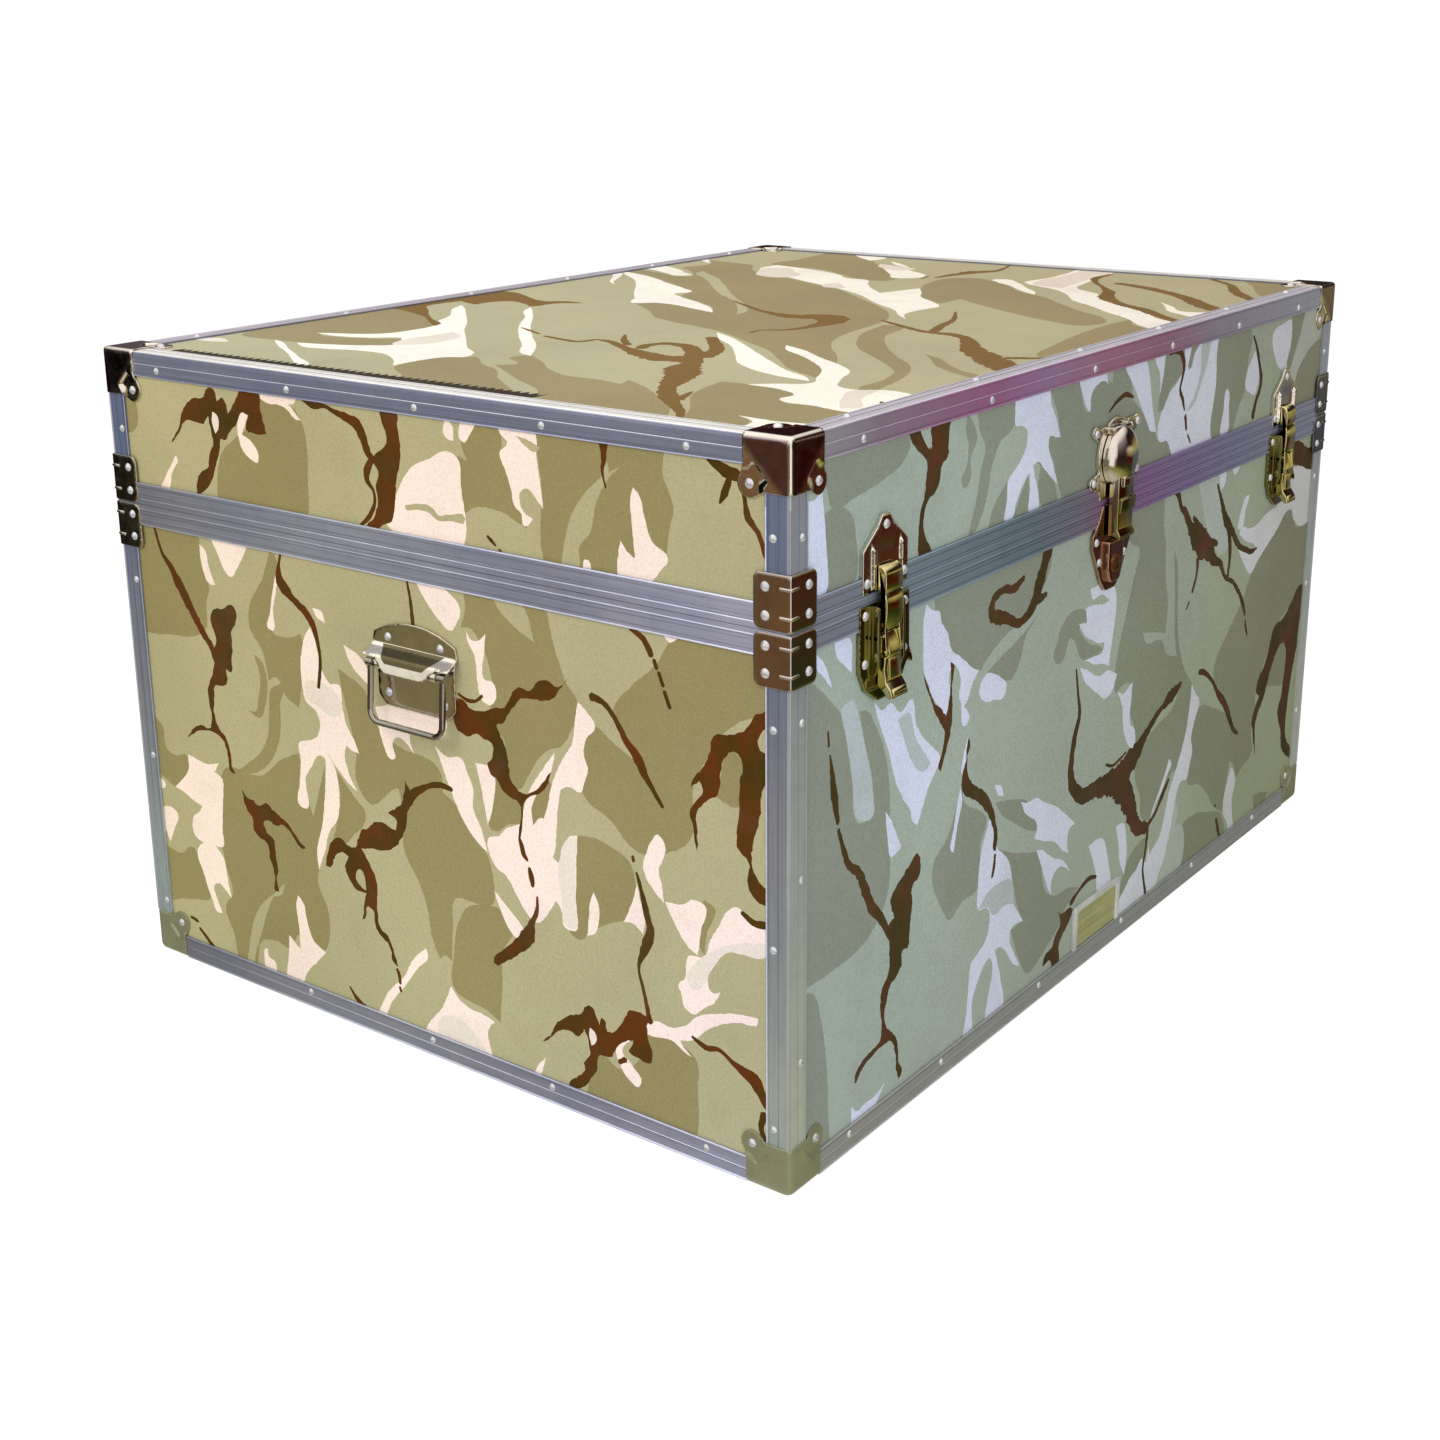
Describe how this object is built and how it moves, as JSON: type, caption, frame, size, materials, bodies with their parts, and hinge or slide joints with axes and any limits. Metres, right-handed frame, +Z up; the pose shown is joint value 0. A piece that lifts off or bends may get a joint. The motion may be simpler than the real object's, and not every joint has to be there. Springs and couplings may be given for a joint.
{
  "type": "footlocker",
  "caption": "Large covered trunk with a back-hinged lid, metal edging and corner caps, draw catches, a hasp lock, swinging end handles and a label holder.",
  "frame": {"origin": "on the resting plane, in the middle of the object's outline seen from above", "axes": "+Z up, +X along the length, the front with the catches and lock faces -Y, the hinges are at +Y"},
  "size_m": [0.9234, 0.673, 0.5155],
  "materials": {
    "plywood": "bare plywood, inside only",
    "camouflage_fabric": "printed desert camouflage cloth, fine weave",
    "lining_paper": "plain pale lining",
    "aluminium_edging": "mill-finish extruded edging",
    "nickel_plate": "bright nickel plate on pressed steel",
    "rivet_nickel": "bright domed rivets",
    "brass": "polished brass",
    "label_brass": "dull blank plate"
  },
  "bodies": {
    "base": {"floor_panel": "plywood", "base_front_panel": "plywood", "base_back_panel": "plywood", "base_left_panel": "plywood", "base_right_panel": "plywood", "base_covering": "camouflage_fabric", "base_lining": "lining_paper", "bottom_edging": "aluminium_edging", "base_corner_edging": "aluminium_edging", "base_rim": "aluminium_edging", "base_corner_caps": "nickel_plate", "base_clamps": "nickel_plate", "base_edging_rivets": "rivet_nickel", "base_fitting_rivets": "rivet_nickel", "left_catch_plate": "nickel_plate", "right_catch_plate": "nickel_plate", "catch_pivot_pins": "nickel_plate", "lock_case": "nickel_plate", "left_handle_plate": "nickel_plate", "right_handle_plate": "nickel_plate", "label_frame": "rivet_nickel", "label_plate": "label_brass", "hinge_base_leaves": "nickel_plate", "hinge_pins": "nickel_plate"},
    "lid": {"top_panel": "plywood", "lid_front_panel": "plywood", "lid_back_panel": "plywood", "lid_left_panel": "plywood", "lid_right_panel": "plywood", "lid_covering": "camouflage_fabric", "lid_lining": "lining_paper", "top_edging": "aluminium_edging", "lid_corner_edging": "aluminium_edging", "lid_rim": "aluminium_edging", "lid_corner_caps": "nickel_plate", "lid_clamps": "nickel_plate", "lid_edging_rivets": "rivet_nickel", "lid_fitting_rivets": "rivet_nickel", "left_catch_keeper": "nickel_plate", "right_catch_keeper": "nickel_plate", "hasp_plate": "nickel_plate", "hasp_pin": "nickel_plate", "hinge_lid_leaves": "nickel_plate"},
    "lock_plug": {"lock_plug": "brass"},
    "lock_hasp": {"lock_hasp": "nickel_plate"},
    "left_catch_lever": {"left_catch_lever": "nickel_plate"},
    "right_catch_lever": {"right_catch_lever": "nickel_plate"},
    "left_catch_claw": {"left_catch_claw": "nickel_plate", "left_claw_pin": "nickel_plate"},
    "right_catch_claw": {"right_catch_claw": "nickel_plate", "right_claw_pin": "nickel_plate"},
    "left_handle_bail": {"left_handle_bail": "nickel_plate"},
    "right_handle_bail": {"right_handle_bail": "nickel_plate"}
  },
  "joints": [
    {"name": "lid_hinge", "type": "hinge", "parent": "base", "child": "lid", "pos_m": [0, 0.3335, 0.3922], "axis": [-1, 0, 0], "range_deg": [0, 100]},
    {"name": "left_lever_hinge", "type": "hinge", "parent": "base", "child": "left_catch_lever", "pos_m": [-0.34, -0.3267, 0.368], "axis": [-1, 0, 0], "range_deg": [0, 120]},
    {"name": "right_lever_hinge", "type": "hinge", "parent": "base", "child": "right_catch_lever", "pos_m": [0.34, -0.3267, 0.368], "axis": [-1, 0, 0], "range_deg": [0, 120]},
    {"name": "left_claw_hinge", "type": "hinge", "parent": "left_catch_lever", "child": "left_catch_claw", "pos_m": [-0.34, -0.3294, 0.3575], "axis": [-1, 0, 0], "range_deg": [-121, 1]},
    {"name": "right_claw_hinge", "type": "hinge", "parent": "right_catch_lever", "child": "right_catch_claw", "pos_m": [0.34, -0.3294, 0.3575], "axis": [-1, 0, 0], "range_deg": [-121, 1]},
    {"name": "hasp_hinge", "type": "hinge", "parent": "lid", "child": "lock_hasp", "pos_m": [-0.006, -0.3265, 0.45], "axis": [-1, 0, 0], "range_deg": [0, 110]},
    {"name": "lock_plug_turn", "type": "hinge", "parent": "base", "child": "lock_plug", "pos_m": [-0.006, -0.3235, 0.343], "axis": [0, -1, 0], "range_deg": [0, 90]},
    {"name": "left_bail_hinge", "type": "hinge", "parent": "base", "child": "left_handle_bail", "pos_m": [-0.4555, 0.0035, 0.312], "axis": [0, 1, 0], "range_deg": [-5, 95]},
    {"name": "right_bail_hinge", "type": "hinge", "parent": "base", "child": "right_handle_bail", "pos_m": [0.4555, 0.0035, 0.312], "axis": [0, -1, 0], "range_deg": [-5, 95]}
  ],
  "couplings": [
    {"joint": "left_claw_hinge", "follows": "left_lever_hinge", "ratio": -1},
    {"joint": "right_claw_hinge", "follows": "right_lever_hinge", "ratio": -1}
  ]
}
